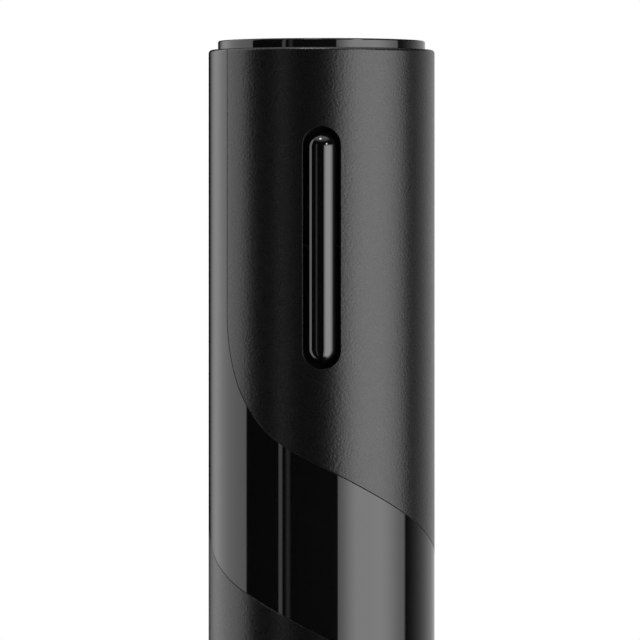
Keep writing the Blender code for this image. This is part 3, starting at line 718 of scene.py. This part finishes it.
def slab(outline, y0, y1):
    """A closed cutter from an (x, z) outline pushed along Y."""
    n = len(outline)
    verts = [Vector((x, y, z)) * MM for y in (y0, y1) for x, z in outline]
    faces = [(k, (k + 1) % n, n + (k + 1) % n, n + k) for k in range(n)]
    faces += [tuple(range(n))[::-1], tuple(range(n, 2 * n))]
    mesh = bpy.data.meshes.new("cutter")
    mesh.from_pydata(verts, [], faces)
    bm = bmesh.new()
    bm.from_mesh(mesh)
    bmesh.ops.recalc_face_normals(bm, faces=bm.faces)
    bm.to_mesh(mesh)
    bm.free()
    ob = bpy.data.objects.new("cutter", mesh)
    bpy.context.scene.collection.objects.link(ob)
    return ob


def slot_outline(w, length, cz, arc_n=24, flat=False):
    r, h = w / 2, (length - w) / 2
    pts = [(r * math.cos(math.pi * k / arc_n), h + r * math.sin(math.pi * k / arc_n))
           for k in range(arc_n + 1)]
    pts += [(-x, -z) for x, z in pts]
    if flat:
        return [(z, x + cz) for x, z in pts]
    return [(x, z + cz) for x, z in pts]


liner = lathe("shell_liner", [(21.5, 92.2), (SKIN_IN - 0.05, 92.2), (SKIN_IN - 0.05, 238.5),
                              (21.5, 238.5)], "dark_plastic", "opener_body", [], 120)
cut_away(liner, [slab(slot_outline(SLOT_W + 0.5, SLOT_L + 0.5, SLOT_Z), -26, -16),
                 slab(slot_outline(PORT_H + 0.4, PORT_W + 0.4, 174.1, flat=True), 16, 26)])

# ------------------------------------------------------------------ end cap
cap = [(0, 242.35), (19.7, 242.35), (19.7, 238.85), (21.9, 238.85), (22.0, 239.1)]
cap += arc(21.62, 243.55, 0.38, 0, 90, 8)
cap += [(21.2, 243.95), (20.0, 243.98), (16.0, 244.06), (10.0, 244.13), (4.0, 244.17), (0, 244.18)]
lathe("end_cap", cap, "gloss_black", "opener_body", ["top_cap"], 200)

# ------------------------------------------------------------------ rocker bar
def rocker_bar():
    rr, half, back = ROCKER_W / 2, (ROCKER_L - ROCKER_W) / 2, -19.4
    rings, n_end, n_mid, n_arc = [], 18, 12, 36
    for k in range(n_end + 1):
        b = math.radians(3 + 87 * k / n_end)
        rings.append((SLOT_Z - half - rr * math.cos(b), rr * math.sin(b), -math.cos(b), math.sin(b)))
    for k in range(1, n_mid):
        rings.append((SLOT_Z - half + 2 * half * k / n_mid, rr, 0.0, 1.0))
    for k in range(n_end, -1, -1):
        b = math.radians(3 + 87 * k / n_end)
        rings.append((SLOT_Z + half + rr * math.cos(b), rr * math.sin(b), math.cos(b), math.sin(b)))
    verts, norms, faces, corners = [], [], [], []
    for z, r, nz, nr in rings:
        ring_v, ring_n = [(r, back, z)], [Vector((nr, 0, nz))]
        for k in range(n_arc + 1):
            t = math.pi * k / n_arc
            ring_v.append((r * math.cos(t), ROCKER_Y - r * math.sin(t), z))
            ring_n.append(Vector((nr * math.cos(t), -nr * math.sin(t), nz)))
        ring_v.append((-r, back, z))
        ring_n.append(Vector((-nr, 0, nz)))
        verts += ring_v
        norms += ring_n
    n = n_arc + 3
    for i in range(len(rings) - 1):
        for k in range(n - 1):
            q = (i * n + k, (i + 1) * n + k, (i + 1) * n + k + 1, i * n + k + 1)
            faces.append(q)
            corners += [norms[j] for j in q]
        q = (i * n + n - 1, (i + 1) * n + n - 1, (i + 1) * n, i * n)
        faces.append(q)
        corners += [Vector((0, 1, 0))] * 4
    q = tuple(range(n))
    faces.append(q)
    corners += [Vector((0, 0, -1))] * n
    last = (len(rings) - 1) * n
    q = tuple(last + k for k in reversed(range(n)))
    faces.append(q)
    corners += [Vector((0, 0, 1))] * n
    return finish_mesh("rocker_switch", verts, faces, "lacquer_black", "rocker", ["rocker_bar"],
                       normals=corners)


rocker = rocker_bar()

# ------------------------------------------------------------------ lower body
lathe("window", [(21.3, 34.0), (23.5, 34.0)] + arc(23.6, 34.4, 0.4, -90, 0, 5) +
      arc(23.6, 91.3, 0.4, 0, 90, 5) + [(21.2, 91.7), (21.2, 97.8), (19.5, 98.0), (19.4, 90.0),
      (21.3, 87.5)], "smoke", "opener_body", ["window_tube"], 180)
lathe("base_band", [(21.6, 24.0), (23.2, 24.0)] + arc(23.5, 24.5, 0.5, -90, 0, 5) +
      [(24.0, 27.4), (23.86, 27.55), (23.86, 27.75), (24.0, 27.9)] +
      arc(23.5, 33.2, 0.5, 0, 90, 5) + [(21.6, 33.7)],
      "satin_metal", "opener_body", ["base_ring"], 180)
lathe("neck_liner", [(17.2, 17.6), (18.9, 17.6)] + arc(19.0, 18.2, 0.6, -90, 0, 4) +
      [(19.6, 23.8), (21.3, 24.4), (21.3, 33.6), (20.9, 34.2)] + arc(20.4, 46.5, 0.5, 0, 90, 4) +
      [(13.4, 47.0)] + arc(13.2, 46.4, 0.6, 90, 180, 4) +
      [(12.6, 45.0), (15.7, 45.0), (15.7, 19.4)] + arc(17.2, 19.1, 1.5, 180, 270, 5)[1:-1],
      "dark_plastic", "opener_body", ["neck_guide"], 144)


foil = lathe("foil_cutter_shell", [(17.2, 0.0), (23.0, 0.0)] + arc(23.2, 0.8, 0.8, -90, 0, 6) +
             [(24.0, 3.0), (23.8, 3.15), (23.8, 3.4), (24.0, 3.55)] +
             arc(23.5, 23.2, 0.5, 0, 90, 5) + [(20.2, 23.7), (19.9, 23.4), (19.9, 13.8), (15.8, 13.8),
             (15.8, 1.8), (16.1, 0.9), (16.6, 0.3)], "matte_black", "foil_cutter",
             ["foil_cutter_body"], 160)


def disc(at, r, z0, z1, n=28):
    verts = [Vector((at[0] + r * math.cos(2 * math.pi * k / n), at[1] + r * math.sin(2 * math.pi * k / n), z)) * MM
             for z in (z0, z1) for k in range(n)]
    faces = [(k, (k + 1) % n, n + (k + 1) % n, n + k) for k in range(n)]
    faces += [tuple(range(n))[::-1], tuple(range(n, 2 * n))]
    mesh = bpy.data.meshes.new("cutter")
    mesh.from_pydata(verts, [], faces)
    ob = bpy.data.objects.new("cutter", mesh)
    bpy.context.scene.collection.objects.link(ob)
    return ob


spots = [(17.8 * math.cos(math.radians(45 + 90 * k)), 17.8 * math.sin(math.radians(45 + 90 * k)))
         for k in range(4)]
cut_away(foil, [disc(p, 4.75, 8.6, 12.4, 40) for p in spots] +
         [disc(p, 1.3, 5.6, 15.0, 20) for p in spots])
for k, p in enumerate(spots):
    prof = [(1.25, 8.9), (2.2, 8.9), (2.3, 9.0), (2.3, 10.05), (2.45, 10.15), (3.6, 10.18),
            (4.2, 10.5), (3.6, 10.82), (2.45, 10.85), (2.3, 10.95), (2.3, 12.0), (2.2, 12.1),
            (1.25, 12.1)]
    lathe("blade_wheel_%d" % (k + 1), prof, "steel", "cutting_wheel_%d" % (k + 1),
          ["cutting_wheel_%d" % (k + 1)], 64, p, sharp=25)

# ------------------------------------------------------------------ worm and hub
def worm_piece():
    wr, wire, pitch, top, tip = 3.4, 1.35, 9.4, 93.2, 40.0
    turns = (88.0 - tip) / pitch
    path, radii = [], []
    for k in range(6):
        path.append(Vector((0, 0, top - 3.2 * k / 6)))
        radii.append(wire)
    steps = 260
    for k in range(steps + 1):
        f = k / steps
        z = 89.4 + (tip - 89.4) * f
        a = -2 * math.pi * turns * f
        u = min(1.0, f * turns / 0.55)
        r = wr * (u * u * (3 - 2 * u)) ** 0.5 if f else 0.0
        path.append(Vector((r * math.cos(a), r * math.sin(a), z)))
        tail = min(1.0, (1.0 - f) * turns / 0.32)
        radii.append(max(0.1, wire * tail ** 0.6))
    n = 20
    verts, faces = [], []
    side = Vector((1, 0, 0))
    for i, p in enumerate(path):
        t = (path[min(i + 1, len(path) - 1)] - path[max(i - 1, 0)]).normalized()
        side = (side - t * side.dot(t)).normalized()
        up = t.cross(side)
        for k in range(n):
            a = 2 * math.pi * k / n
            verts.append(p + (side * math.cos(a) + up * math.sin(a)) * radii[i])
    for i in range(len(path) - 1):
        for k in range(n):
            m = (k + 1) % n
            faces.append((i * n + k, i * n + m, (i + 1) * n + m, (i + 1) * n + k))
    faces.append(tuple(range(n)))
    faces.append(tuple(range((len(path) - 1) * n, len(path) * n)))
    return finish_mesh("worm_screw", verts, faces, "coated", "output", ["worm"], sharp=50)


worm_piece()
hub = lathe("worm_chuck", [(0, 90.0), (3.0, 90.0)] + arc(3.2, 90.4, 0.4, -90, -35, 3) +
            [(7.0, 92.7)] + arc(6.8, 93.2, 0.5, -35, 0, 3) +
            [(7.3, 95.6), (6.9, 95.9), (6.9, 96.6), (7.3, 96.9), (7.3, 101.6), (6.9, 101.9),
             (6.9, 102.6), (7.3, 102.9)] +
            arc(6.8, 104.0, 0.5, 0, 90, 4) + [(0, 104.5)], "dark_plastic", "output", ["worm_hub"], 96)
hole = disc((0, 0), 4.2, 94.8, 106.0, 6)
cut_away(hub, [hole, disc((0, 0), 1.75, 88.0, 93.6, 24)])

# ------------------------------------------------------------------ materials on the other CAD nodes
SLOTS = {row["node"]: row["material_slot"] for row in frame["record"]["subparts"]}
for node, ob in frame["nodes"].items():
    if ob.hide_render:
        continue
    ob.data.materials.clear()
    ob.data.materials.append(BLACKENED if node == "rocker_pin" else MATS[SLOTS[node]])
    for p in ob.data.polygons:
        p.material_index = 0

# ------------------------------------------------------------------ floor
def floor():
    n, rad = 128, 2.6
    verts = [(0, 0, -0.0002)]
    rings = [0.12, 0.3, 0.8, 1.6, rad]
    for r in rings:
        verts += [(r * math.cos(2 * math.pi * k / n), r * math.sin(2 * math.pi * k / n), -0.0002)
                  for k in range(n)]
    faces = [(0, 1 + k, 1 + (k + 1) % n) for k in range(n)]
    for i in range(len(rings) - 1):
        a, b = 1 + i * n, 1 + (i + 1) * n
        faces += [(a + k, b + k, b + (k + 1) % n, a + (k + 1) % n) for k in range(n)]
    mesh = bpy.data.meshes.new("studio_floor")
    mesh.from_pydata(verts, [], faces)
    ob = bpy.data.objects.new("studio_floor", mesh)
    bpy.context.scene.collection.objects.link(ob)
    mat, g, p = new_material("studio_floor")
    co = g.coords()
    soft = g.noise(co, 6.0, 3.0, 0.5)
    g.put(g.mix(soft, rgb(0.80, 0.80, 0.80), rgb(0.84, 0.84, 0.84)), p.inputs["Base Color"])
    g.put(g.bump(g.noise(co, 1500.0, 3.0, 0.6), 0.1, 0.00005), p.inputs["Normal"])
    p.inputs["Roughness"].default_value = 0.6
    p.inputs["Specular IOR Level"].default_value = 0.2
    reach = g.add("ShaderNodeVectorMath", operation="LENGTH")
    g.put(co, reach.inputs[0])
    clear = g.add("ShaderNodeBsdfTransparent")
    fade = g.add("ShaderNodeMixShader")
    g.put(g.span(reach.outputs["Value"], 0.45, 1.7, 0.0, 1.0, True), fade.inputs[0])
    g.put(p.outputs[0], fade.inputs[1])
    g.put(clear.outputs[0], fade.inputs[2])
    g.put(fade.outputs[0], g.t.nodes["Material Output"].inputs["Surface"])
    mesh.materials.append(mat)
    ob.visible_glossy = False
    return ob


floor()

# ------------------------------------------------------------------ studio light
# Tall softboxes stand round the object. Each runs between two bearings, in degrees
# from the front towards +X, with the width of its soft edges, and a brightness.
BOXES = [
    # from, to, soft start, soft end, brightness, lower and upper end of its soft top edge
    (16, 96, 1, 4, 2.0, 0.12, 0.36),        # key box, right front
    (14, 96, 24, 36, 3.5, 0.12, 0.34),      # the lamp's glow inside the key box
    (-164, -82, 35, 2, 2.0, 0.55, 0.85),    # left box, the tallest
    (-45, -40, 1, 1, 1.2, 0.30, 0.50),      # narrow strip, left front
    (-38, -31, 3, 3, 0.4, 0.30, 0.50),      # its fainter neighbour
    (92, 180, 52, 4, 0.90, 0.20, 0.45),     # back box
]
# Small lamps: bearing and height in degrees, radius in degrees, brightness
LAMPS = [
    (42, 24, 8, 14.0),
    (-20, 68, 10, 16.0),
]


def studio_world():
    world = bpy.data.worlds.new("studio")
    world.use_nodes = True
    bpy.context.scene.world = world
    g = Graph(world.node_tree)
    for n in list(world.node_tree.nodes):
        world.node_tree.nodes.remove(n)
    sep = g.add("ShaderNodeSeparateXYZ")
    g.put(g.add("ShaderNodeTexCoord").outputs["Generated"], sep.inputs[0])
    turn = g.math("ARCTAN2", sep.outputs[0], g.math("MULTIPLY", sep.outputs[1], -1.0))
    turn = g.math("MULTIPLY", turn, 180 / math.pi)
    height = sep.outputs[2]
    boxes = 0.0
    for start, end, soft_a, soft_b, bright, low, high in BOXES:
        box = g.math("MULTIPLY", g.span(turn, start, start + soft_a, 0.0, bright, True),
                     g.span(turn, end - soft_b, end, 1.0, 0.0, True))
        box = g.math("MULTIPLY", box, g.span(height, low, high, 1.0, 0.0, True))
        boxes = g.math("ADD", boxes, box)
    down = g.span(height, -0.95, -0.70, 0.0, 1.0, True)
    walls = g.math("MULTIPLY", boxes, down)
    # a broad soft ceiling light
    ceiling = g.span(height, 0.62, 0.95, 0.0, 1.5, True)
    total = g.math("ADD", walls, ceiling)
    for bearing, rise, radius, bright in LAMPS:
        az, el = math.radians(bearing), math.radians(rise)
        near = g.add("ShaderNodeVectorMath", operation="DOT_PRODUCT")
        g.put(sep.inputs[0].links[0].from_socket, near.inputs[0])
        near.inputs[1].default_value = (math.sin(az) * math.cos(el), -math.cos(az) * math.cos(el), math.sin(el))
        total = g.math("ADD", total, g.span(near.outputs["Value"], math.cos(math.radians(radius)),
                                            math.cos(math.radians(radius * 0.4)), 0.0, bright, True))
    lit = g.add("ShaderNodeBackground")
    g.put(total, lit.inputs["Strength"])
    seen = g.add("ShaderNodeBackground")
    seen.inputs["Color"].default_value = (1, 1, 1, 1)
    seen.inputs["Strength"].default_value = 1.0
    mix = g.add("ShaderNodeMixShader")
    path = g.add("ShaderNodeLightPath")
    g.put(path.outputs["Is Camera Ray"], mix.inputs[0])
    world.node_tree.links.new(lit.outputs[0], mix.inputs[1])
    world.node_tree.links.new(seen.outputs[0], mix.inputs[2])
    out = g.add("ShaderNodeOutputWorld")
    world.node_tree.links.new(mix.outputs[0], out.inputs["Surface"])


studio_world()

# ------------------------------------------------------------------ camera
cam_data = bpy.data.cameras.new("camera")
cam_data.lens = 500.0
cam_data.sensor_width = 36.0
cam_data.clip_start = 0.05
cam_data.clip_end = 30.0
cam = bpy.data.objects.new("camera", cam_data)
cam.location = (-0.00034, -1.888, 0.1847)
cam.rotation_euler = (math.radians(90), 0, 0)
bpy.context.scene.collection.objects.link(cam)
bpy.context.scene.camera = cam
bpy.context.scene.view_settings.view_transform = "Standard"
bpy.context.scene.view_settings.look = "None"
